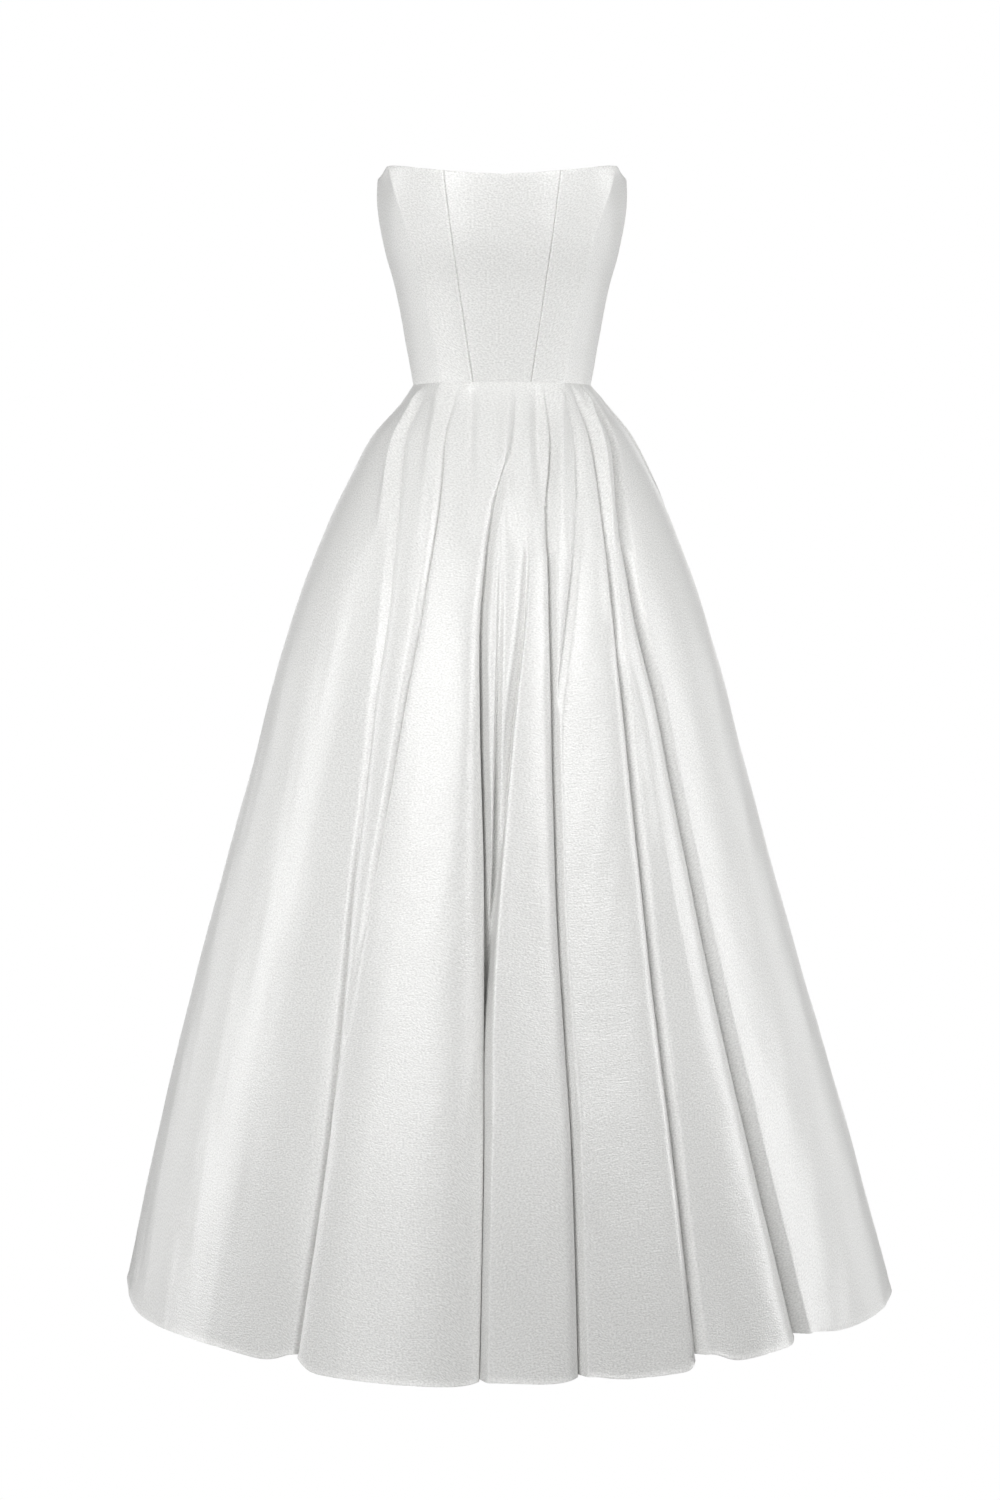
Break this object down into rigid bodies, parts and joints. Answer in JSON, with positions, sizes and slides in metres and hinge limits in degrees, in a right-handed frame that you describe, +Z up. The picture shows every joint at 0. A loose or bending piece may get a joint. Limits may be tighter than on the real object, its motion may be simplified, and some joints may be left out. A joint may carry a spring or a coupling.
{
  "type": "strapless ball dress",
  "caption": "Strapless dress with a panelled bodice, a flat waist seam and a full floor-length skirt of deep soft folds, zipped at the back.",
  "frame": {"origin": "centre of the waist seam's ring, where the wearer's waist holds the dress up", "axes": "+Z up, the front of the dress faces -Y, +X is the right side as seen from the front"},
  "size_m": [0.8488, 0.8597, 1.2318],
  "materials": {
    "satin": "heavy ivory satin with a fine slub",
    "zip_tape": "plain woven tape",
    "zip_teeth": "nylon coil",
    "zip_metal": "satin metal"
  },
  "bodies": {
    "dress": {"bodice_centre_front": "satin", "bodice_side_front_left": "satin", "bodice_side_front_right": "satin", "bodice_side_left": "satin", "bodice_side_right": "satin", "bodice_back_left": "satin", "bodice_back_right": "satin", "skirt_front": "satin", "skirt_back_left": "satin", "skirt_back_right": "satin", "zip_tape_left": "zip_tape", "zip_tape_right": "zip_tape", "zip_teeth": "zip_teeth", "zip_slider": "zip_metal"},
    "pull_tab": {"zip_pull": "zip_metal"}
  },
  "joints": [
    {"name": "pull_tab_hinge", "type": "hinge", "parent": "dress", "child": "pull_tab", "pos_m": [0, 0.10441, 0.17173], "axis": [1, 0, 0], "range_deg": [0, 150]}
  ]
}
